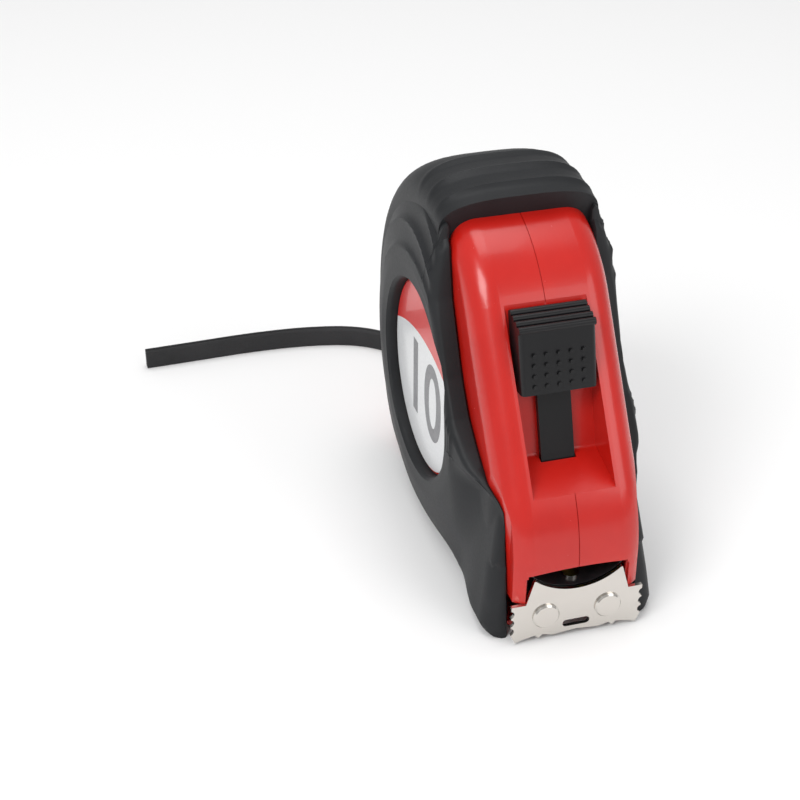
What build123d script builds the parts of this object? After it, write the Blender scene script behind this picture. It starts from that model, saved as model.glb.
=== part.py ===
"""Ten metre spring tape measure, modelled piece by piece in millimetres.

Frame: +X runs forward along the blade, +Z is up and Y runs across the case. The origin is on the flat
base, straight below the spool axis and midway between the two sides. Left is +Y, right is -Y.
"""

import os
from math import cos, degrees, hypot, radians, sin

from build123d import *

os.makedirs("parts", exist_ok=True)

# ---- driving dimensions -------------------------------------------------------------------------
AXIS_Z = 43.1  # height of the spool axis above the base
CASE_HALF = 18.2  # half the width of the moulded case
NOSE_HALF = 16.0  # half its width beside the mouth
CASE_TOP = 92.0
CASE_REAR = -46.0
HEEL_R = 24.0  # rear bottom corner
NOSE_X = 58.7  # front of the case round the mouth
NOSE_TOP = 21.4  # where the sloping front starts
WALL = 2.4
EDGE_R = 7.0  # rounding along the long edges of the case
BOSS_R = 25.7  # round boss under each label
BOSS_Y = 20.9

MOUTH_HALF = 12.7
MOUTH_TOP = 20.4
MOUTH_BOTTOM = 4.0
CHEEK_Z = 11.8
GUIDE_TOP = 13.6  # top of the blade guide inside the mouth

CHANNEL_HALF = 10.4  # recess that the lock button runs in
CHANNEL_TOP = (28.0, 77.0)
CHANNEL_FOOT = (39.5, 41.3)
LEDGE_FRONT = (53.0, 38.2)
SLOPE_END = (53.2, 38.4)  # the straight slope below the button turns down to the mouth here
CHANNEL_WALL = 2.0

BLADE_WIDTH = 25.0
BLADE_T = 0.2
BLADE_R = 16.4  # curl of the blade, hollow side up
BLADE_Z = 14.4  # underside of the blade on the centre line
BLADE_END = 57.8
COIL_R = 28.2
DRUM_R = 19.0
SPINDLE_R = 3.0
RUNNING_GAP = 0.05
CLEAR = 0.3  # gap between pieces that move past each other

GRIP_Y = 24.0  # outer face of the side grips
GRIP_RING = 35.0  # radius of their flat ring
RIM_R = 26.0  # recess that the label sits in
LABEL_R = 25.0
LABEL_T = 0.35
BUMPER_HALF = 20.8
BUMPER_TOP = 98.5

BUTTON_HALF = 9.6
TONGUE_HALF = 4.25
TONGUE_T = 1.5
LOCK_TRAVEL = 12.0

HOOK_X = 58.1
HOOK_T = 1.0
HOOK_HALF = 16.9
HOOK_FLOAT = 1.0
MAGNET_R = 3.4
MAGNET_Y = 8.0
MAGNET_Z = 7.6
RIVET_X = (47.5, 53.5)
RIVET_R = 1.2

STRAP_WIDTH = 6.0
STRAP_T = 2.4  # two layers of webbing
STRAP_ROUTE = [
    (-43.4, 0),
    (-56, 1.5),
    (-70, 2.5),
    (-84, -3),
    (-94, -14),
    (-98, -30),
    (-99, -48),
    (-98.4, -65),
    (-98, -81),
]

SIDE = Plane.XZ  # side view sketches, extruded towards -Y


def finish(part, label):
    """Labels one finished piece and writes its STEP file."""
    part.label = label
    export_step(part, f"parts/{label}.step")


# ---- case ---------------------------------------------------------------------------------------
def case_sketch():
    """Side outline of the case."""
    heel = HEEL_R * cos(radians(45))
    with BuildSketch(SIDE) as sketch:
        with BuildLine():
            TangentArc((0, CASE_TOP), CHANNEL_TOP, tangent=(1, 0))
            slope = Line(CHANNEL_TOP, SLOPE_END)
            TangentArc(SLOPE_END, (NOSE_X, NOSE_TOP), tangent=slope % 1)
            TangentArc((0, CASE_TOP), (CASE_REAR, CASE_TOP + CASE_REAR), tangent=(-1, 0))
            Line((CASE_REAR, CASE_TOP + CASE_REAR), (CASE_REAR, HEEL_R))
            ThreePointArc(
                (CASE_REAR, HEEL_R),
                (CASE_REAR + HEEL_R - heel, HEEL_R - heel),
                (CASE_REAR + HEEL_R, 0),
            )
            Line((CASE_REAR + HEEL_R, 0), (NOSE_X, 0))
            Line((NOSE_X, 0), (NOSE_X, NOSE_TOP))
        make_face()
    return sketch.sketch


CHANNEL_LENGTH = hypot(CHANNEL_FOOT[0] - CHANNEL_TOP[0], CHANNEL_FOOT[1] - CHANNEL_TOP[1])
DOWN = (
    (CHANNEL_FOOT[0] - CHANNEL_TOP[0]) / CHANNEL_LENGTH,
    (CHANNEL_FOOT[1] - CHANNEL_TOP[1]) / CHANNEL_LENGTH,
)
OUT = (-DOWN[1], DOWN[0])


def on_floor(along, lift):
    """Point of the side view, measured down the channel floor and out of it."""
    x = CHANNEL_TOP[0] + along * DOWN[0] + lift * OUT[0]
    z = CHANNEL_TOP[1] + along * DOWN[1] + lift * OUT[1]
    return (x, z)


def floor_box(start, end, low, high, half):
    """Box lying on the channel floor, symmetric about the mid-plane."""
    corners = [on_floor(start, low), on_floor(end, low), on_floor(end, high), on_floor(start, high)]
    with BuildPart() as box:
        with BuildSketch(SIDE):
            with BuildLine():
                Polyline(*corners, close=True)
            make_face()
        extrude(amount=half, both=True)
    return box.part


with BuildPart() as outer_half:
    add(extrude(case_sketch(), amount=CASE_HALF, mode=Mode.PRIVATE))
    side_face = outer_half.faces().sort_by(Axis.Y)[0]
    rim = side_face.edges().filter_by(lambda e: e.center().Z > 1 and e.length > 21.5)
    fillet(rim, radius=EDGE_R)
    with BuildSketch(Plane.XY):
        with BuildLine():
            Polyline(
                (44, -CASE_HALF),
                (54, -NOSE_HALF),
                (NOSE_X + 1, -NOSE_HALF),
                (NOSE_X + 1, -CASE_HALF - 1),
                (44, -CASE_HALF - 1),
                close=True,
            )
        make_face()
    extrude(amount=CASE_TOP, mode=Mode.SUBTRACT)

with BuildPart() as channel:  # the space cut for the lock button
    with BuildSketch(SIDE):
        with BuildLine():
            far = NOSE_X + 20
            Polyline(
                CHANNEL_TOP, CHANNEL_FOOT, LEDGE_FRONT, (far, 32), (far, CHANNEL_TOP[1]), close=True
            )
        make_face()
    extrude(amount=CHANNEL_HALF, both=True)
    fillet(channel.edges().filter_by(Axis.Y).sort_by(Axis.X)[1], radius=1.0)

with BuildPart() as channel_wall:  # walls that line that space inside the case
    with BuildSketch(SIDE):
        with BuildLine():
            foot = on_floor(CHANNEL_LENGTH + CHANNEL_WALL, -CHANNEL_WALL)
            Polyline(
                on_floor(-3, -CHANNEL_WALL), foot, (54, 35.4), (far, 30), (far, 79.5), close=True
            )
        make_face()
    extrude(amount=CHANNEL_HALF + CHANNEL_WALL, both=True)

SCREWS = [(-27, 74), (3, 81.5), (39, 6.2), (-29, 14)]
SCREW_R = 1.4

with BuildPart() as case_right:
    add(outer_half.part)
    with BuildSketch(SIDE):
        add(case_sketch())
        offset(amount=-WALL, kind=Kind.INTERSECTION, mode=Mode.REPLACE)
    extrude(amount=CASE_HALF - WALL, mode=Mode.SUBTRACT)
    add(channel_wall.part & outer_half.part)
    with BuildSketch(SIDE.offset(CASE_HALF - WALL)):
        with Locations((0, AXIS_Z)):
            Circle(BOSS_R)
    extrude(amount=BOSS_Y - CASE_HALF + WALL)
    with BuildSketch(SIDE.offset(13.9)):  # seats for the spindle, the reel liner and the screws
        with Locations((0, AXIS_Z)):
            Circle(31.5)
            Circle(30.0, mode=Mode.SUBTRACT)
            Circle(SPINDLE_R + 2.5)
    extrude(amount=CASE_HALF - WALL - 13.9)
    with BuildSketch(SIDE):
        with Locations(*SCREWS):
            Circle(SCREW_R + 1.6)
    extrude(amount=CASE_HALF - WALL)
    with BuildSketch(SIDE):
        with Locations(*SCREWS):
            Circle(SCREW_R)
    extrude(amount=CASE_HALF, mode=Mode.SUBTRACT)
    with BuildSketch(SIDE):
        with Locations((0, AXIS_Z)):
            Circle(SPINDLE_R)
    extrude(amount=CASE_HALF - WALL, mode=Mode.SUBTRACT)
    add(channel.part, mode=Mode.SUBTRACT)
    slot = floor_box(CHANNEL_LENGTH - 3, CHANNEL_LENGTH + 6, 0.1, 2.4, TONGUE_HALF + CLEAR)
    add(slot, mode=Mode.SUBTRACT)
    stem_slot = floor_box(8, 32, -4, 1, 1.6)
    add(stem_slot, mode=Mode.SUBTRACT)
    with BuildSketch(Plane.YZ.offset(NOSE_X - 6)):
        with BuildLine():
            Line((-MOUTH_HALF, MOUTH_BOTTOM), (MOUTH_HALF, MOUTH_BOTTOM))
            Line((MOUTH_HALF, MOUTH_BOTTOM), (MOUTH_HALF, MOUTH_TOP - 0.6))
            ThreePointArc(
                (MOUTH_HALF, MOUTH_TOP - 0.6), (0, MOUTH_TOP), (-MOUTH_HALF, MOUTH_TOP - 0.6)
            )
            Line((-MOUTH_HALF, MOUTH_TOP - 0.6), (-MOUTH_HALF, MOUTH_BOTTOM))
        make_face()
    extrude(amount=10, mode=Mode.SUBTRACT)
    with BuildSketch(Plane.YZ.offset(HOOK_X - 0.5)):  # room for the end hook
        with Locations((0, CHEEK_Z / 2), (0, 14)):
            Rectangle(2 * MOUTH_HALF + 1, 10)
    extrude(amount=5, mode=Mode.SUBTRACT)
    with BuildSketch(Plane.YZ.offset(52.5)):  # the cheeks beside the mouth end above the base
        with Locations((0, CHEEK_Z / 2)):
            Rectangle(2 * CASE_HALF, CHEEK_Z)
    extrude(amount=10, mode=Mode.SUBTRACT)
    with BuildSketch(SIDE):  # fine parting line all round
        add(case_sketch())
        offset(case_sketch(), amount=-0.3, kind=Kind.INTERSECTION, mode=Mode.SUBTRACT)
    extrude(amount=0.1, mode=Mode.SUBTRACT)
    split(bisect_by=Plane.XZ, keep=Keep.TOP)

with BuildPart() as case_left:
    add(mirror(case_right.part, about=Plane.XZ, mode=Mode.PRIVATE))

outer_case = outer_half.part + mirror(outer_half.part, about=Plane.XZ)

with BuildPart() as case_screws:
    with BuildSketch(SIDE.offset(-12)):
        with Locations(*SCREWS):
            Circle(SCREW_R)
    extrude(amount=CASE_HALF + 11.6)

# ---- rubber overmould ---------------------------------------------------------------------------
with BuildPart() as bumper_crown:  # rounds the bumper across the case
    with BuildSketch(Plane((0, 0, CASE_TOP + CASE_REAR), x_dir=(0, 1, 0), z_dir=(1, 0, 0))):
        with BuildLine():
            ThreePointArc((-11, 53.2), (0, 54.2), (11, 53.2))
            ThreePointArc((11, 53.2), (17.6, 50.2), (BUMPER_HALF, 44))
            Line((BUMPER_HALF, 44), (BUMPER_HALF, 0))
            Line((BUMPER_HALF, 0), (-BUMPER_HALF, 0))
            Line((-BUMPER_HALF, 0), (-BUMPER_HALF, 44))
            ThreePointArc((-BUMPER_HALF, 44), (-17.6, 50.2), (-11, 53.2))
        make_face()
    revolve(axis=Axis((0, 0, CASE_TOP + CASE_REAR), (0, 1, 0)), revolution_arc=360)

with BuildPart() as top_bumper:
    with BuildSketch(SIDE):
        with BuildLine():
            Polyline(
                (8.4, 80), (8.2, 91), (11.1, BUMPER_TOP - 0.6), (3, BUMPER_TOP - 1.6),
                (1.6, BUMPER_TOP), (-4, BUMPER_TOP),
            )
            ThreePointArc((-4, BUMPER_TOP), (-36.5, 81), (-49, 46))
            Line((-49, 46), (-49, 29))
            Line((-49, 29), (-43.5, 29))
            Line((-43.5, 29), (-43.5, 46))
            ThreePointArc((-43.5, 46), (-33, 73), (-12, 84))
            Line((-12, 84), (8.4, 80))
        make_face()
    extrude(amount=BUMPER_HALF, both=True)
    add(bumper_crown.part, mode=Mode.INTERSECT)
    add(outer_case, mode=Mode.SUBTRACT)

GRIP_FRONT = [(8.6, 86), (11.7, 85.7), (14.5, 73.5), (19, 64.7), (23.3, 55.9), (29.3, 48), (35.7, 43)]


with BuildPart() as crown:  # limits the grip's outer face: a flat ring that falls away all round
    with BuildSketch(Plane((0, 0, AXIS_Z), x_dir=(1, 0, 0), z_dir=(0, 0, 1))):
        with BuildLine():
            Line((0, 0), (0, -GRIP_Y))
            Line((0, -GRIP_Y), (GRIP_RING, -GRIP_Y))
            ThreePointArc((GRIP_RING, -GRIP_Y), (41.5, -22.9), (46.5, -20.2))
            Line((46.5, -20.2), (80, -20.2))
            Line((80, -20.2), (80, 0))
            Line((80, 0), (0, 0))
        make_face()
    revolve(axis=Axis((0, 0, AXIS_Z), (0, 1, 0)), revolution_arc=360)

with BuildPart() as grip_right:
    with BuildSketch(SIDE.offset(CASE_HALF - 3)):
        add(case_sketch())
        with BuildLine():
            Polyline(
                *GRIP_FRONT, (43.8, 37.6), (48.5, 36.5), (52, 24), (54.5, 12), (55, 0),
                (80, 0), (80, 100), (8.6, 100), close=True,
            )
        make_face(mode=Mode.SUBTRACT)
    extrude(amount=GRIP_Y - CASE_HALF + 3)
    add(crown.part, mode=Mode.INTERSECT)
    with BuildSketch(Plane.YZ.offset(34)):  # boot beside the mouth
        with BuildLine():
            Polyline(
                (-15, 37), (-18.5, 37), (-20.3, 20), (-22.6, 3), (-21.2, 0), (-15, 0), close=True
            )
        make_face()
    extrude(amount=21)
    bevel = Plane((56.3, -16, 20), x_dir=(0.35, -0.9, 0), z_dir=(0.9, 0.35, -0.12))
    split(bisect_by=bevel, keep=Keep.BOTTOM)
    with BuildSketch(SIDE):
        with Locations((0, AXIS_Z)):
            Circle(RIM_R)
    extrude(amount=40, mode=Mode.SUBTRACT)
    add(outer_case, mode=Mode.SUBTRACT)
    add(top_bumper.part, mode=Mode.SUBTRACT)
    solids = grip_right.solids().sort_by(SortBy.VOLUME)
    add(solids[-1], mode=Mode.REPLACE)

with BuildPart() as grip_left:
    add(mirror(grip_right.part, about=Plane.XZ, mode=Mode.PRIVATE))

with BuildPart() as label_right:
    with BuildSketch(SIDE.offset(BOSS_Y)):
        with Locations((0, AXIS_Z)):
            Circle(LABEL_R)
    extrude(amount=LABEL_T)

with BuildPart() as label_left:
    add(mirror(label_right.part, about=Plane.XZ, mode=Mode.PRIVATE))

# ---- reel ---------------------------------------------------------------------------------------
def ring(outer, inner, low, high):
    """Ring about the spool axis between two distances across the case."""
    with BuildPart() as part:
        with BuildSketch(SIDE.offset(-high)):
            with Locations((0, AXIS_Z)):
                Circle(outer)
                Circle(inner, mode=Mode.SUBTRACT)
        extrude(amount=high - low)
    return part.part


HALF_WIDTH = BLADE_WIDTH / 2

with BuildPart() as spindle:
    add(ring(SPINDLE_R, 0.8, -(CASE_HALF - WALL), CASE_HALF - WALL))

with BuildPart() as reel_drum:
    add(ring(DRUM_R, DRUM_R - 1.2, -HALF_WIDTH, HALF_WIDTH))
    add(ring(DRUM_R, SPINDLE_R + RUNNING_GAP, -HALF_WIDTH, -HALF_WIDTH + 1.2))
    add(ring(SPINDLE_R + 1.4, SPINDLE_R + RUNNING_GAP, -HALF_WIDTH, HALF_WIDTH - 1.2))

with BuildPart() as drum_cover:
    add(ring(DRUM_R - 1.2, SPINDLE_R + RUNNING_GAP, HALF_WIDTH - 1.2, HALF_WIDTH))

with BuildPart() as mainspring:
    add(ring(DRUM_R - 1.2, 12.2, -HALF_WIDTH + 1.5, HALF_WIDTH - 1.5))

with BuildPart() as blade_coil:
    add(ring(COIL_R, DRUM_R, -HALF_WIDTH, HALF_WIDTH))

with BuildPart() as reel_liner_right:
    add(ring(31.4, SPINDLE_R + 0.2, -13.9, -13.1))

with BuildPart() as reel_liner_left:
    add(mirror(reel_liner_right.part, about=Plane.XZ, mode=Mode.PRIVATE))

# ---- blade and end hook -------------------------------------------------------------------------
def curl_sketch(plane, low, high, width):
    """Curled cross-section between two heights on the centre line, hollow side up."""
    centre = BLADE_Z + BLADE_T + BLADE_R
    half = degrees(width / 2 / BLADE_R)
    with BuildSketch(plane) as sketch:
        with BuildLine():
            rims = []
            for z in (low, high):
                r = centre - z
                side = (r * sin(radians(half)), centre - r * cos(radians(half)))
                ThreePointArc((-side[0], side[1]), (0, z), side)
                rims.append(side)
            Line(rims[0], rims[1])
            Line((-rims[0][0], rims[0][1]), (-rims[1][0], rims[1][1]))
        make_face()
    return sketch.sketch


with BuildPart() as blade:
    with BuildSketch(Plane.YZ.offset(24)):
        add(curl_sketch(Plane.XY, BLADE_Z, BLADE_Z + BLADE_T, BLADE_WIDTH))
    extrude(amount=BLADE_END - 24)
    with BuildSketch(Plane.YZ.offset(7)):
        with BuildLine():
            ThreePointArc((-HALF_WIDTH, BLADE_Z + 0.2), (0, BLADE_Z), (HALF_WIDTH, BLADE_Z + 0.2))
            Line((HALF_WIDTH, BLADE_Z + 0.2), (HALF_WIDTH, BLADE_Z + 0.4))
            ThreePointArc(
                (HALF_WIDTH, BLADE_Z + 0.4), (0, BLADE_Z + BLADE_T), (-HALF_WIDTH, BLADE_Z + 0.4)
            )
            Line((-HALF_WIDTH, BLADE_Z + 0.4), (-HALF_WIDTH, BLADE_Z + 0.2))
        make_face()
    with BuildSketch(Plane.YZ.offset(24)):
        add(curl_sketch(Plane.XY, BLADE_Z, BLADE_Z + BLADE_T, BLADE_WIDTH))
    loft()
    with BuildSketch(Plane.XY.offset(BLADE_Z - 1)):
        with Locations(*[(x, 0) for x in RIVET_X]):
            Circle(RIVET_R)
    extrude(amount=3, mode=Mode.SUBTRACT)

TONGUE_LOW = BLADE_Z - CLEAR - 0.6
TONGUE_HIGH = BLADE_Z - CLEAR

with BuildPart() as hook_rivets:
    with BuildSketch(Plane.XY.offset(TONGUE_LOW - 0.5)):
        with Locations(*[(x, 0) for x in RIVET_X]):
            Circle(RIVET_R)
    extrude(amount=2.2)
    with BuildSketch(Plane.XY.offset(BLADE_Z + BLADE_T)):
        with Locations(*[(x, 0) for x in RIVET_X]):
            Circle(2.1)
    extrude(amount=0.7)
    with BuildSketch(Plane.XY.offset(TONGUE_LOW - 0.9)):
        with Locations(*[(x, 0) for x in RIVET_X]):
            Circle(2.1)
    extrude(amount=0.6)

with BuildPart() as end_hook:
    with BuildSketch(Plane.YZ.offset(HOOK_X)):
        with BuildLine():
            Polyline(
                (0, 1.8), (6, 1.2), (8.6, 1.9), (9.6, 0.9), (10.6, 1.9), (14, 1.2), (HOOK_HALF - 1.2, 0.6),
                (HOOK_HALF, 3.2), (HOOK_HALF, 11.7), (13.2, 11.7), (11.3, 18.4), (0, 18.4),
            )
            mirror(about=Plane.YZ)
        make_face()
        with Locations(*[(s * (HOOK_HALF + 0.35), z) for s in (-1, 1) for z in (4.3, 6.9, 9.5)]):
            Circle(1.15, mode=Mode.SUBTRACT)
        with Locations((0, BLADE_Z + BLADE_T + BLADE_R)):
            Circle(BLADE_R + BLADE_T + 0.05, mode=Mode.SUBTRACT)
        with Locations((0, 4.0)):
            SlotOverall(7, 2, mode=Mode.SUBTRACT)
        with Locations((-MAGNET_Y, MAGNET_Z), (MAGNET_Y, MAGNET_Z)):
            Circle(MAGNET_R, mode=Mode.SUBTRACT)
    extrude(amount=HOOK_T)
    with BuildSketch(Plane.YZ.offset(44)):
        add(curl_sketch(Plane.XY, TONGUE_LOW, TONGUE_HIGH, 20))
    extrude(amount=HOOK_X + HOOK_T - 44)
    with BuildSketch(Plane.XY.offset(BLADE_Z - 3)):
        with Locations(*[(x - HOOK_FLOAT / 2, 0) for x in RIVET_X]):
            SlotOverall(2 * (RIVET_R + CLEAR) + HOOK_FLOAT, 2 * (RIVET_R + CLEAR))
    extrude(amount=5, mode=Mode.SUBTRACT)

with BuildPart() as hook_magnets:
    with BuildSketch(Plane.YZ.offset(HOOK_X)):
        with Locations((-MAGNET_Y, MAGNET_Z), (MAGNET_Y, MAGNET_Z)):
            Circle(MAGNET_R)
    extrude(amount=HOOK_T + 0.8)
    chamfer(hook_magnets.edges().group_by(Axis.X)[-1], length=0.4)

with BuildPart() as blade_guide:
    with BuildSketch(Plane.YZ.offset(46)):
        with Locations((0, (WALL + GUIDE_TOP) / 2)):
            Rectangle(2 * (MOUTH_HALF - CLEAR), GUIDE_TOP - WALL)
        with Locations((0, BLADE_Z + BLADE_T + BLADE_R)):
            Circle(BLADE_R + 2.6, mode=Mode.SUBTRACT)
    extrude(amount=NOSE_X - WALL - 46)

# ---- lock ---------------------------------------------------------------------------------------
LIFT = 0.4

with BuildPart() as lock_slider:
    with BuildSketch(SIDE):
        with BuildLine():
            Polyline((28.8, 76.0), (37.0, 74.2), (40.6, 58.9), on_floor(19.7, LIFT), close=True)
        make_face()
        with Locations(*[(29.9 + 2.1 * rib, 75.7 - 0.46 * rib) for rib in range(4)]):
            Circle(0.95)
    extrude(amount=BUTTON_HALF, both=True)
    front_edges = lock_slider.edges().filter_by(
        lambda e: abs(e.center().Y) > BUTTON_HALF - 0.1 and e.center().X > 38 and e.length > 10
    )
    fillet(front_edges, radius=1.2)
    dots = Plane(origin=(38.9, 0, 66.8), x_dir=(0, 1, 0), z_dir=(0.9776, 0, 0.2104))
    with BuildSketch(dots.offset(-0.3)):
        with Locations((0, -2.2)):
            with GridLocations(3.1, 2.6, 5, 4):
                Circle(0.55)
    extrude(amount=0.75)
    add(floor_box(2, 49.5, LIFT, LIFT + TONGUE_T, TONGUE_HALF))
    add(floor_box(10, 18, -3.6, LIFT + 0.5, 1.2))
    add(floor_box(9, 18, -3.6, -2.4, 3.2))

with BuildPart() as brake_pad:
    add(floor_box(49.5, 52, LIFT - 0.3, LIFT + TONGUE_T + 0.3, 5))

with BuildPart() as lock_spring:
    add(floor_box(31.5, 38, -CHANNEL_WALL - 0.3, -CHANNEL_WALL, 4))

# ---- wrist strap --------------------------------------------------------------------------------
with BuildPart() as strap_lug:
    with BuildSketch(Plane.XY.offset(7)):
        with Locations((-40, 0)):
            SlotOverall(14, 7)
    extrude(amount=3)
    add(outer_case, mode=Mode.SUBTRACT)
    with BuildSketch(Plane.XY):
        with Locations((-43, 0)):
            Circle(1.2)
    extrude(amount=12, mode=Mode.SUBTRACT)

with BuildPart() as strap_pin:
    with BuildSketch(Plane.XY.offset(0.3)):
        with Locations((-43, 0)):
            Circle(1.2)
    extrude(amount=10)


def corner_radii(points):
    """Largest tangent arcs that the runs of a route allow."""
    radii = []
    for before, here, after in zip(points, points[1:], points[2:]):
        first = Vector(*here) - Vector(*before)
        second = Vector(*after) - Vector(*here)
        half_turn = radians(first.get_angle(second) / 2)
        radii.append(0.45 * min(first.length, second.length) * cos(half_turn) / sin(half_turn))
    return radii


strap_radii = corner_radii(STRAP_ROUTE)
print("strap radii", [round(r, 1) for r in strap_radii])

with BuildPart() as wrist_strap:
    with BuildSketch(Plane.XY):
        with BuildLine():
            FilletPolyline(*STRAP_ROUTE, radius=strap_radii)
        trace(line_width=STRAP_T)
    extrude(amount=STRAP_WIDTH)
    add(strap_pin.part, mode=Mode.SUBTRACT)

pieces = {
    "case_left": case_left,
    "case_right": case_right,
    "case_screws": case_screws,
    "top_bumper": top_bumper,
    "grip_left": grip_left,
    "grip_right": grip_right,
    "label_left": label_left,
    "label_right": label_right,
    "spindle": spindle,
    "reel_liner_left": reel_liner_left,
    "reel_liner_right": reel_liner_right,
    "reel_drum": reel_drum,
    "drum_cover": drum_cover,
    "mainspring": mainspring,
    "blade_coil": blade_coil,
    "blade": blade,
    "hook_rivets": hook_rivets,
    "end_hook": end_hook,
    "hook_magnets": hook_magnets,
    "blade_guide": blade_guide,
    "lock_slider": lock_slider,
    "brake_pad": brake_pad,
    "lock_spring": lock_spring,
    "strap_lug": strap_lug,
    "strap_pin": strap_pin,
    "wrist_strap": wrist_strap,
}
for label, piece in pieces.items():
    finish(piece.part, label)
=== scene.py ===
import math

import bpy
from mathutils import Matrix, Vector


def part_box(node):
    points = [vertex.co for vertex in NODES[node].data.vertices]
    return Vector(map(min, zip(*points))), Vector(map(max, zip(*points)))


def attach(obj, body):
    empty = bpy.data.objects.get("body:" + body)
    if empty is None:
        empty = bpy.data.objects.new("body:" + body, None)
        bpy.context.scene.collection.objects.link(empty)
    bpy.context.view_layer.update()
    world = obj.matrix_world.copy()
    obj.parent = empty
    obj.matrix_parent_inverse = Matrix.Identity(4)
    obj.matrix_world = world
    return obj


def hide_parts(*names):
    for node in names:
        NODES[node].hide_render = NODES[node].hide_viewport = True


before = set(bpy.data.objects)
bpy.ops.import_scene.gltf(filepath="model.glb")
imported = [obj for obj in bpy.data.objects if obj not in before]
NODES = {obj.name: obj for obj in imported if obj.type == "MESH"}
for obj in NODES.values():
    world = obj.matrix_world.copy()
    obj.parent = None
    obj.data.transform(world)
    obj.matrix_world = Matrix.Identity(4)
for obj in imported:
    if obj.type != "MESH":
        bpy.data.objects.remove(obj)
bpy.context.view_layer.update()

MM = 0.001
SPOOL_HEIGHT = 43.1  # height of the spool axis above the base, in mm
SPOOL_Z = SPOOL_HEIGHT * MM


# ---- camera and cord ----------------------------------------------------------------------------
def make_camera():
    """Camera in front of the mouth, above and towards the right side of the tape."""
    right = (0.2773, 0.9608, 0.0)
    up = (-0.5063, 0.1461, 0.8499)
    back = (0.8165, -0.2357, 0.5270)
    place = (0.3592, -0.1314, 0.2690)
    data = bpy.data.cameras.new("camera")
    data.lens = 76.5
    data.sensor_width = 36
    camera = bpy.data.objects.new("camera", data)
    bpy.context.scene.collection.objects.link(camera)
    camera.matrix_world = Matrix(
        [[right[i], up[i], back[i], place[i]] for i in range(3)] + [[0, 0, 0, 1]]
    )
    bpy.context.scene.camera = camera


STRAP_ROUTE = [
    (-43.4, 0),
    (-56, 1.5),
    (-70, 2.5),
    (-84, -3),
    (-94, -14),
    (-98, -30),
    (-99, -48),
    (-98.4, -65),
    (-98, -81),
]
STRAP_WIDTH = 6 * MM
STRAP_T = 2.4 * MM


def smooth_line(points):
    """Places along the smooth line of the control points, sampled from the curve itself."""
    data = bpy.data.curves.new("strap_line", "CURVE")
    data.dimensions = "3D"
    data.resolution_u = 24
    spline = data.splines.new("NURBS")
    spline.points.add(len(points) - 1)
    for point, place in zip(spline.points, points):
        point.co = (*place, 1)
    spline.order_u = 3
    spline.use_endpoint_u = True
    line = bpy.data.objects.new("strap_line", data)
    mesh = bpy.data.meshes.new_from_object(line)
    places = [v.co.copy() for v in mesh.vertices]
    bpy.data.objects.remove(line)
    return places


def make_strap(material):
    """Flat webbing loop folded double, standing on its edge, with a groove between its two layers."""
    points = [(x * MM, y * MM, STRAP_WIDTH / 2) for x, y in STRAP_ROUTE]
    line = smooth_line(points)
    half, tall = STRAP_T / 2, STRAP_WIDTH / 2
    quarter = [
        (0.08 * MM, tall - 1.0 * MM),
        (0.3 * MM, tall - 0.3 * MM),
        (0.6 * MM, tall),
        (half - 0.3 * MM, tall - 0.05 * MM),
        (half, tall - 0.5 * MM),
        (half - 0.1 * MM, tall - 1.1 * MM),
    ]
    right_side = quarter + [(x, -y) for x, y in reversed(quarter)]
    section = right_side + [(-x, y) for x, y in reversed(right_side)]
    count = len(section)
    vertices, faces = [], []
    for number, place in enumerate(line):
        ahead = line[min(number + 1, len(line) - 1)] - line[max(number - 1, 0)]
        across = Vector((-ahead.y, ahead.x, 0)).normalized()
        vertices += [place + across * x + Vector((0, 0, y)) for x, y in section]
    for number in range(len(line) - 1):
        here, there = number * count, (number + 1) * count
        for k in range(count):
            after = (k + 1) % count
            faces.append((here + k, here + after, there + after, there + k))
    faces.append(tuple(reversed(range(count))))
    faces.append(tuple(range(len(vertices) - count, len(vertices))))
    strap = link_mesh("strap_webbing", vertices, faces, material)
    strap.data.set_sharp_from_angle(angle=math.radians(40))
    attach(strap, "case")
    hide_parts("wrist_strap")


# ---- materials ----------------------------------------------------------------------------------
NOISE_ROUGHNESS = 0.55
BLADE_SHADE_START = 36 * MM  # where the painted shade on the blade begins: near-black colour standing in for the shade inside the mouth


def new_material(name, color, rough, metal=0.0, coat=0.0):
    """A principled material with its constant values on the shader's own sockets."""
    material = bpy.data.materials.new(name)
    material.use_nodes = True
    tree = material.node_tree
    shader = tree.nodes["Principled BSDF"]
    shader.inputs["Base Color"].default_value = (*color, 1)
    shader.inputs["Roughness"].default_value = rough
    shader.inputs["Metallic"].default_value = metal
    shader.inputs["Coat Weight"].default_value = coat
    return material, tree, shader


def coordinates(tree, scale):
    """Object coordinates, stretched by a scale for each axis."""
    texture = tree.nodes.new("ShaderNodeTexCoord")
    mapping = tree.nodes.new("ShaderNodeMapping")
    mapping.inputs["Scale"].default_value = scale
    tree.links.new(texture.outputs["Object"], mapping.inputs["Vector"])
    return mapping.outputs["Vector"]


def noise_value(tree, vector, scale, detail=3.0):
    """Noise from 0 to 1 at a scale, read at a vector."""
    node = tree.nodes.new("ShaderNodeTexNoise")
    node.inputs["Scale"].default_value = scale
    node.inputs["Detail"].default_value = detail
    node.inputs["Roughness"].default_value = NOISE_ROUGHNESS
    tree.links.new(vector, node.inputs["Vector"])
    return node.outputs["Fac"]


def ramp(tree, value, stops):
    """Colour ramp from (position, colour) stops."""
    node = tree.nodes.new("ShaderNodeValToRGB")
    elements = node.color_ramp.elements
    while len(elements) < len(stops):
        elements.new(0.5)
    for element, (place, color) in zip(elements, stops):
        element.position = place
        element.color = (*color, 1)
    tree.links.new(value, node.inputs["Fac"])
    return node.outputs["Color"]


def spread(tree, value, low, high):
    """Maps a value from 0..1 to low..high."""
    node = tree.nodes.new("ShaderNodeMapRange")
    node.inputs["To Min"].default_value = low
    node.inputs["To Max"].default_value = high
    tree.links.new(value, node.inputs["Value"])
    return node.outputs["Result"]


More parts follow.
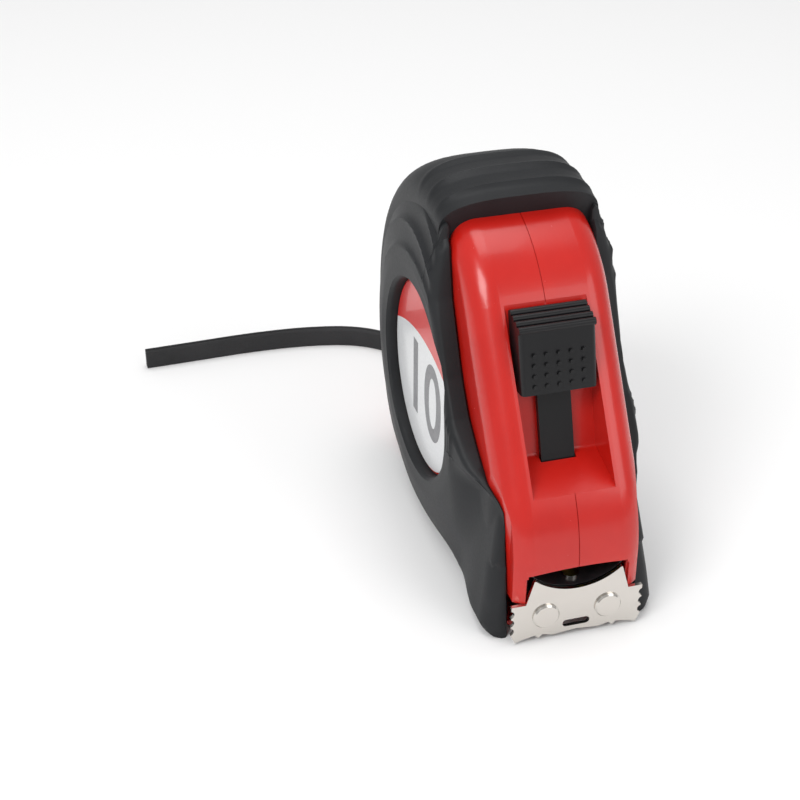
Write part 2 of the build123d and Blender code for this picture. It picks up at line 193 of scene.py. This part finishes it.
def bump(tree, shader, height, strength, distance):
    """Feeds a height into the shader as bump."""
    node = tree.nodes.new("ShaderNodeBump")
    node.inputs["Strength"].default_value = strength
    node.inputs["Distance"].default_value = distance
    tree.links.new(height, node.inputs["Height"])
    tree.links.new(node.outputs["Normal"], shader.inputs["Normal"])


def varied(
    name,
    dark,
    light,
    rough,
    grain,
    grain_depth,
    metal=0.0,
    coat=0.0,
    stretch=(1, 1, 1),
    specular=0.5,
):
    """Moulded or finished surface: soft colour and gloss variation, with a fine grain as bump."""
    material, tree, shader = new_material(name, light, rough[0], metal, coat)
    shader.inputs["Specular IOR Level"].default_value = specular
    place = coordinates(tree, stretch)
    broad = noise_value(tree, place, 45.0)
    fine = noise_value(tree, place, grain, detail=4.0)
    color = ramp(tree, broad, [(0.3, dark), (0.7, light)])
    tree.links.new(color, shader.inputs["Base Color"])
    tree.links.new(spread(tree, fine, rough[0], rough[1]), shader.inputs["Roughness"])
    bump(tree, shader, fine, 0.5, grain_depth)
    return material


def label_material():
    """White print with a red field above a curved border."""
    material, tree, shader = new_material("label_print", (0.8, 0.8, 0.8), 0.32, coat=0.3)
    texture = tree.nodes.new("ShaderNodeTexCoord")
    split = tree.nodes.new("ShaderNodeSeparateXYZ")
    tree.links.new(texture.outputs["Object"], split.inputs["Vector"])

    def math_node(kind, a, b):
        node = tree.nodes.new("ShaderNodeMath")
        node.operation = kind
        for socket, value in zip(node.inputs, (a, b)):
            if isinstance(value, (int, float)):
                socket.default_value = value
            else:
                tree.links.new(value, socket)
        return node.outputs["Value"]

    x, z = split.outputs["X"], split.outputs["Z"]
    bow = math_node("MULTIPLY", math_node("MULTIPLY", x, x), -9.0)
    border = math_node("ADD", bow, SPOOL_Z + 10.5 * MM)
    is_red = math_node("GREATER_THAN", z, border)
    mix = tree.nodes.new("ShaderNodeMix")
    mix.data_type = "RGBA"
    paper = noise_value(tree, texture.outputs["Object"], 1500.0)
    white = ramp(tree, paper, [(0.3, (0.68, 0.69, 0.70)), (0.7, (0.76, 0.77, 0.78))])
    red = ramp(tree, paper, [(0.3, (0.60, 0.018, 0.016)), (0.7, (0.66, 0.024, 0.02))])
    tree.links.new(is_red, mix.inputs["Factor"])
    tree.links.new(white, mix.inputs["A"])
    tree.links.new(red, mix.inputs["B"])
    tree.links.new(mix.outputs["Result"], shader.inputs["Base Color"])
    return material


def painted_shade_blade_material():
    """Yellow enamel, coloured near-black over the last stretch behind the hook: painted shade standing
    in for the shade inside the mouth.
    """
    material, tree, shader = new_material("blade_painted_shade", (0.7, 0.53, 0.06), 0.3, coat=0.3)
    texture = tree.nodes.new("ShaderNodeTexCoord")
    split = tree.nodes.new("ShaderNodeSeparateXYZ")
    tree.links.new(texture.outputs["Object"], split.inputs["Vector"])
    # painted shade: the blade turns near-black beyond the start value, standing in for the shade inside
    # the mouth
    painted_shade_mask = tree.nodes.new("ShaderNodeMath")
    painted_shade_mask.operation = "GREATER_THAN"
    painted_shade_mask.inputs[1].default_value = BLADE_SHADE_START
    tree.links.new(split.outputs["X"], painted_shade_mask.inputs[0])
    grain = noise_value(tree, texture.outputs["Object"], 900.0)
    yellow = ramp(tree, grain, [(0.3, (0.68, 0.51, 0.06)), (0.7, (0.76, 0.58, 0.08))])
    painted_shade_black = ramp(tree, grain, [(0.3, (0.010, 0.009, 0.010)), (0.7, (0.018, 0.016, 0.018))])
    mix = tree.nodes.new("ShaderNodeMix")
    mix.data_type = "RGBA"
    tree.links.new(painted_shade_mask.outputs["Value"], mix.inputs["Factor"])
    tree.links.new(yellow, mix.inputs["A"])
    tree.links.new(painted_shade_black, mix.inputs["B"])
    tree.links.new(mix.outputs["Result"], shader.inputs["Base Color"])
    bump(tree, shader, grain, 0.3, 0.00001)
    return material


def assign(material, *names):
    """Gives CAD nodes a material in place of their plain one."""
    for name in names:
        node = NODES[name]
        node.data.materials.clear()
        node.data.materials.append(material)


# ---- shaped pieces ------------------------------------------------------------------------------
def link_mesh(name, vertices, faces, material):
    """A smooth-shaded mesh object with one material, added to the scene."""
    mesh = bpy.data.meshes.new(name)
    mesh.from_pydata(vertices, [], faces)
    mesh.validate()
    mesh.materials.append(material)
    for polygon in mesh.polygons:
        polygon.use_smooth = True
    piece = bpy.data.objects.new(name, mesh)
    bpy.context.scene.collection.objects.link(piece)
    return piece


def soften(value, low, high):
    """Smooth step from 0 at low to 1 at high."""
    t = min(1.0, max(0.0, (value - low) / (high - low)))
    return t * t * (3 - 2 * t)


# Front edge of a side grip from under the bumper down to the boot, then round the boot (x, z in mm).
GRIP_FRONT = [
    (9.6, 88.0),
    (11.7, 85.7),
    (14.5, 73.5),
    (19.0, 64.7),
    (23.3, 55.9),
    (29.3, 48.0),
    (35.7, 43.0),
    (43.8, 37.8),
    (48.6, 36.6),
    (51.0, 34.0),
    (53.0, 22.0),
    (55.0, 9.0),
    (55.4, 1.2),
]
CASE_REAR = -46.0
HEEL = 24.0  # radius of the rounded lower rear corner
ROUND_Z = 46.0  # centre height of the round back
BACK_R = 46.0
RIM_R = 26.0  # recess that the label sits in
BOOT_FLARE = [(0.0, 21.2), (3.0, 22.5), (18.0, 20.2), (34.0, 17.6), (37.0, 17.0), (100.0, 17.0)]


def between(table, value):
    """Straight-line value from a short table of (place, value)."""
    for (a, low), (b, high) in zip(table, table[1:]):
        if value <= b:
            return low + (high - low) * max(0.0, (value - a) / (b - a))
    return table[-1][1]


def reach(angle):
    """Distance from the spool axis to the grip's outline, in a direction of the side view, in mm."""
    dx, dz = math.cos(angle), math.sin(angle)
    best = None
    front = [(x, z - SPOOL_HEIGHT) for x, z in GRIP_FRONT]
    for (ax, az), (bx, bz) in zip(front, front[1:]):
        ex, ez = bx - ax, bz - az
        cross = dx * ez - dz * ex
        if abs(cross) < 1e-9:
            continue
        far = (ax * ez - az * ex) / cross
        along = (ax * dz - az * dx) / cross
        if far > 0 and -1e-6 <= along <= 1 + 1e-6:
            best = far if best is None else max(best, far)
    if best is not None:
        return best
    step = 20.0
    place = 20.0
    while step > 0.01:
        x, z = dx * (place + step), SPOOL_HEIGHT + dz * (place + step)
        inside = z > 0 and x > CASE_REAR
        if z > ROUND_Z:
            inside = inside and math.hypot(x, z - ROUND_Z) < BACK_R
        elif x < CASE_REAR + HEEL and z < HEEL:
            inside = inside and math.hypot(x - CASE_REAR - HEEL, z - HEEL) < HEEL
        if inside:
            place += step
        else:
            step /= 2
    return place


def ridge_height(x, z):
    """Three crests that sweep from the upper rear, converge at the front edge and fade downwards."""
    radius = math.hypot(x, z - SPOOL_HEIGHT)
    angle = math.degrees(math.atan2(z - SPOOL_HEIGHT, x))
    if angle < -60 or angle > 170:
        return 0.0
    fade = soften(angle, -25, 20) * (1 - soften(angle, 120, 165))
    height = 0.0
    for number in range(3):
        spacing = 1.6 + 5.2 * soften(angle, 10, 120)
        crest = 31.5 + 3.0 * soften(angle, 40, 110) + number * spacing - 3.5 * (1 - soften(angle, 0, 60))
        gap = radius - crest
        if gap < 0:
            height += 1.3 * math.exp(gap / (0.45 * spacing))
        else:
            height += 1.3 * math.exp(-gap / (0.08 * spacing + 0.2))
    return height * fade


def grip_face(x, z, edge):
    """Distance of the grip's outer face from the mid-plane; edge is the distance to its outline."""
    radius = math.hypot(x, z - SPOOL_HEIGHT)
    ring = 24.0 - 0.7 * soften(radius, 30, 36) - 2.9 * soften(radius, 34, 47)
    boot = soften(x, 30, 46) * (1 - soften(z, 33, 40))
    height = ring * (1 - boot) + between(BOOT_FLARE, z) * boot
    if boot < 0.6:
        height += ridge_height(x, z) * (1 - boot / 0.6) * 0.9 * soften(edge, 0.3, 4.5)
    round_off = 3.2 if z > 20 and x > 8 else 6.0
    if edge < round_off:
        height -= 0.55 * round_off * (1 - math.sqrt(max(0.0, 1 - (1 - edge / round_off) ** 2)))
    over_case = 18.9 - 2.3 * soften(x, 45, 53)
    return max(min(height, 24.4), over_case)


def make_grip(side):
    """Sculpted rubber panel with the label recess, the ridges and the boot. side is -1 or 1."""
    around, steps = 420, 48
    boot_foot = 16.2
    rows = []
    for i in range(around):
        angle = 2 * math.pi * i / around
        dx, dz = math.cos(angle), math.sin(angle)
        outer = max(reach(angle), 26.35)
        row = [(RIM_R, 18.4), (RIM_R, 22.6), (RIM_R + 0.15, 23.4)]
        for k in range(1, steps + 1):
            radius = 26.2 + (outer - 26.2) * (k / steps) ** 0.92
            x, z = dx * radius, SPOOL_HEIGHT + dz * radius
            row.append((radius, grip_face(x, z, outer - radius)))
        x, z = dx * outer, SPOOL_HEIGHT + dz * outer
        boot = soften(x, 44, 50) * (1 - soften(z, 33, 38))
        foot = 18.3 * (1 - boot) + boot_foot * boot
        row.append((outer, min(foot + 0.6, row[-1][1] - 0.1)))
        row.append((max(outer - 1.0, 26.1), foot))
        rows.append([(dx * r * MM, side * y * MM, (SPOOL_HEIGHT + dz * r) * MM) for r, y in row])
    width = len(rows[0])
    vertices = [place for row in rows for place in row]
    faces = []
    for i in range(around):
        here, there = i * width, (i + 1) % around * width
        for k in range(width):
            after = (k + 1) % width
            faces.append((here + k, here + after, there + after, there + k))
    if side > 0:
        faces = [tuple(reversed(face)) for face in faces]
    name = "grip_skin_left" if side > 0 else "grip_skin_right"
    piece = link_mesh(name, vertices, faces, rubber)
    piece.data.set_sharp_from_angle(angle=math.radians(38))
    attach(piece, "case")
    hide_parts("grip_left" if side > 0 else "grip_right")


BUMPER_HALF = 20.6
LIP_ANGLE = 78.5
TAIL_ANGLE = 198.0
# Where each step of the bumper rises, in degrees, and by how much, in mm.
TERRACES = [(84.0, 1.0), (92.0, 1.1), (101.0, 0.9)]


def bumper_radius(angle):
    """Outer radius of the bumper on the mid-plane, measured about the round back of the case, in mm."""
    radius = 53.2 - 5.4 * soften(angle, 100, 180)
    for place, rise in TERRACES:
        radius -= rise * (1 - soften(angle, place - 1.2, place + 0.2)) * 0.6
        radius += 0.5 * math.exp(-((angle - place) / 1.4) ** 2)
    return radius


def make_bumper():
    """Rubber cap over the top and back: an arched lip in front and three terraces behind it."""
    across = [i / 14 for i in range(15)]
    stations = 130
    rows = []
    for i in range(stations + 1):
        angle = LIP_ANGLE + (TAIL_ANGLE - LIP_ANGLE) * i / stations
        dx, dz = math.cos(math.radians(angle)), math.sin(math.radians(angle))
        top = bumper_radius(angle)
        shoulder = 42.5 + 1.5 * soften(angle, 100, 160)
        flap = 36.0 + 3.5 * soften(angle, 95, 150)
        half = [(18.2, flap), (BUMPER_HALF - 0.6, flap), (BUMPER_HALF, flap + 0.7)]
        for t in across:
            turn = t * math.pi / 2
            y = BUMPER_HALF * math.cos(turn) ** 0.62
            half.append((y, shoulder + (top - shoulder) * math.sin(turn) ** 0.72))
        outer = half + [(-y, r) for y, r in reversed(half[:-1])]
        inside = [(-17.9, 40.5), (-15.0, 44.6), (-10.0, 45.6), (10.0, 45.6), (15.0, 44.6), (17.9, 40.5)]
        row = []
        for y, radius in outer + inside:
            x, z = dx * radius, ROUND_Z + dz * radius
            if i == 0:
                x = 8.4 + 2.6 * soften(radius, 44, 54)
            row.append((x * MM, y * MM, z * MM))
        rows.append(row)
    count = len(rows[0])
    vertices = [place for row in rows for place in row]
    faces = []
    for i in range(stations):
        here, there = i * count, (i + 1) * count
        for k in range(count):
            after = (k + 1) % count
            faces.append((here + k, there + k, there + after, here + after))
    faces.append(tuple(range(count)))
    faces.append(tuple(reversed(range(len(vertices) - count, len(vertices)))))
    piece = link_mesh("bumper_skin", vertices, faces, rubber)
    piece.data.set_sharp_from_angle(angle=math.radians(35))
    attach(piece, "case")
    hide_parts("top_bumper")


def make_numeral(side):
    """The tape's length in metres, printed large on the label. side is -1 for right, 1 for left."""
    data = bpy.data.curves.new(f"label_numeral_{side}", "FONT")
    data.body = "10"
    data.size = 30 * MM
    data.offset = 0.45 * MM
    data.extrude = 0.04 * MM
    data.align_x = "CENTER"
    data.align_y = "CENTER"
    text = bpy.data.objects.new("numeral", data)
    bpy.context.scene.collection.objects.link(text)
    bpy.context.view_layer.update()
    mesh = bpy.data.meshes.new_from_object(text)
    bpy.data.objects.remove(text)
    turn = Matrix.Rotation(math.pi if side > 0 else 0, 4, "Z") @ Matrix.Rotation(math.pi / 2, 4, "X")
    low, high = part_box("label_left" if side > 0 else "label_right")
    y = high[1] if side > 0 else low[1]
    mesh.transform(Matrix.Translation((0, y, SPOOL_Z - 5 * MM)) @ turn)
    name = "numeral_left" if side > 0 else "numeral_right"
    piece = bpy.data.objects.new(name, mesh)
    bpy.context.scene.collection.objects.link(piece)
    material, tree, shader = new_material(f"print_grey_{name}", (0.18, 0.18, 0.19), 0.35)
    ink = noise_value(tree, coordinates(tree, (1, 1, 1)), 1200.0)
    grey = ramp(tree, ink, [(0.3, (0.15, 0.15, 0.16)), (0.7, (0.21, 0.21, 0.22))])
    tree.links.new(grey, shader.inputs["Base Color"])
    mesh.materials.append(material)
    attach(piece, "case")


# ---- light and floor ----------------------------------------------------------------------------
def make_studio():
    """Pale floor, three soft lamps aimed at the middle of the object, and a white world."""
    material = new_material("studio_floor", (0.92, 0.92, 0.92), 0.7)[0]
    far = 12.0
    floor = link_mesh(
        "floor",
        [(-far, -far, 0), (far, -far, 0), (far, far, 0), (-far, far, 0)],
        [(0, 1, 2, 3)],
        material,
    )
    for name, place, size, energy in (
        ("key", (0.5, -0.7, 0.9), 0.5, 6.5),
        ("fill", (0.8, 0.6, 0.6), 0.6, 2.5),
        ("top", (-0.2, 0.0, 1.1), 0.7, 4.5),
    ):
        data = bpy.data.lights.new(name, "AREA")
        data.size = size
        data.energy = energy
        light = bpy.data.objects.new(name, data)
        light.location = place
        aim = Vector((0, 0, 0.045)) - Vector(place)
        light.rotation_euler = aim.to_track_quat("-Z", "Y").to_euler()
        bpy.context.scene.collection.objects.link(light)
    world = bpy.data.worlds.new("studio")
    world.use_nodes = True
    world.node_tree.nodes["Background"].inputs["Color"].default_value = (1, 1, 1, 1)
    world.node_tree.nodes["Background"].inputs["Strength"].default_value = 0.5
    bpy.context.scene.world = world
    bpy.context.scene.view_settings.view_transform = "Standard"


make_camera()
red = varied(
    "red_abs", (0.50, 0.010, 0.006), (0.58, 0.015, 0.009), (0.20, 0.30), 900.0, 0.00002, coat=0.15
)
rubber = varied(
    "grip_rubber", (0.010, 0.011, 0.0125), (0.016, 0.017, 0.019), (0.46, 0.58), 1500.0, 0.00006,
    specular=0.3,
)
button = varied(
    "button_plastic", (0.005, 0.005, 0.006), (0.008, 0.008, 0.009), (0.28, 0.38), 1300.0, 0.00003,
    specular=0.35,
)
inner = varied("inner_plastic", (0.03, 0.03, 0.033), (0.05, 0.05, 0.055), (0.4, 0.5), 800.0, 0.00002)
nickel = varied(
    "nickel_plate", (0.60, 0.57, 0.53), (0.70, 0.67, 0.63), (0.14, 0.24), 700.0, 0.000003,
    metal=1.0, stretch=(1, 0.15, 1),
)
spring = varied(
    "spring_steel", (0.34, 0.35, 0.37), (0.46, 0.47, 0.49), (0.25, 0.38), 700.0, 0.00001, metal=1.0
)
enamel = varied(
    "blade_enamel", (0.70, 0.53, 0.06), (0.78, 0.60, 0.09), (0.28, 0.36), 900.0, 0.00001, coat=0.2
)
webbing = varied(
    "strap_weave", (0.010, 0.010, 0.011), (0.024, 0.024, 0.026), (0.6, 0.8), 2200.0, 0.0002
)
make_strap(webbing)
assign(red, "case_left", "case_right")
assign(rubber, "top_bumper", "grip_left", "grip_right", "brake_pad")
assign(button, "lock_slider", "strap_lug")
assign(inner, "blade_guide", "reel_liner_left", "reel_liner_right", "reel_drum", "drum_cover")
assign(nickel, "end_hook", "hook_magnets", "hook_rivets", "strap_pin")
assign(spring, "spindle", "mainspring", "lock_spring", "case_screws")
assign(enamel, "blade_coil")
assign(painted_shade_blade_material(), "blade")
assign(label_material(), "label_left", "label_right")
make_grip(-1)
make_grip(1)
make_bumper()
make_numeral(-1)
make_numeral(1)
make_studio()

bpy.context.view_layer.update()
